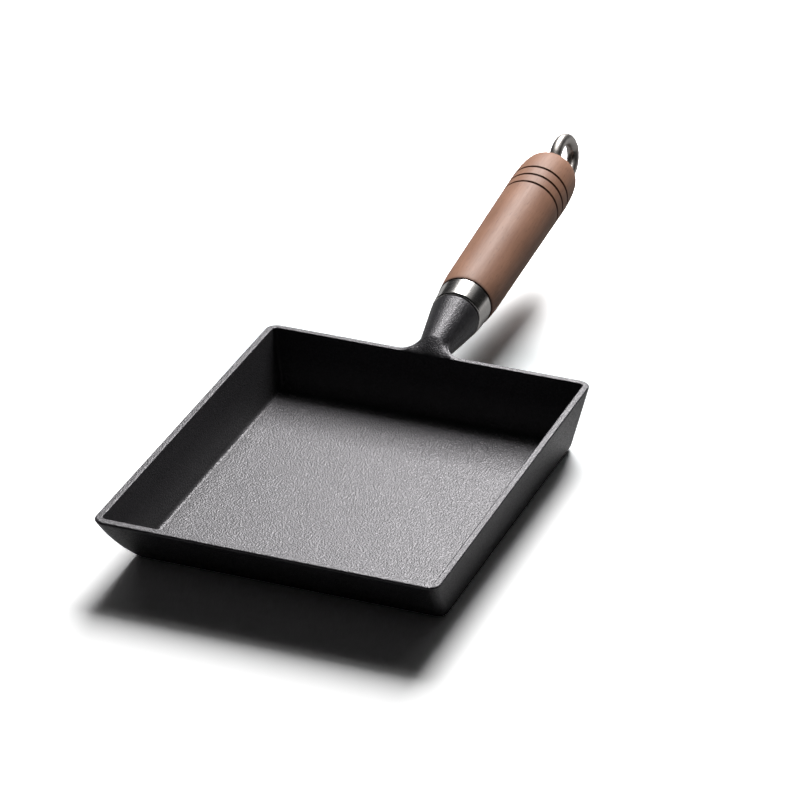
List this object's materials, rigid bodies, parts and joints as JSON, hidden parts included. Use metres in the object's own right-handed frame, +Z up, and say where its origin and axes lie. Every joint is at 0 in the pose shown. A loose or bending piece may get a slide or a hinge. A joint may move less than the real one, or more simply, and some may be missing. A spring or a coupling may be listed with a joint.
{
  "type": "rectangular frying pan",
  "caption": "Rectangular cast-iron frying pan with a far-sloping front wall, a cast neck, and a turned wooden grip with a steel ferrule and a hanging eye.",
  "frame": {"origin": "on the pan's flat underside, below the middle of its rim", "axes": "+Z up, +Y from the pan towards the handle's eye, +X to the right when the handle points away"},
  "size_m": [0.145, 0.3802, 0.0581],
  "materials": {
    "cast_iron": "fine-grained, seasoned black",
    "ferrule_steel": "polished",
    "wood": "turned, scorched and oiled",
    "bolt_steel": "smooth, half bright"
  },
  "bodies": {
    "root": {"pan_casting": "cast_iron", "ferrule": "ferrule_steel", "wooden_grip": "wood", "eye_bolt": "bolt_steel"}
  },
  "joints": []
}
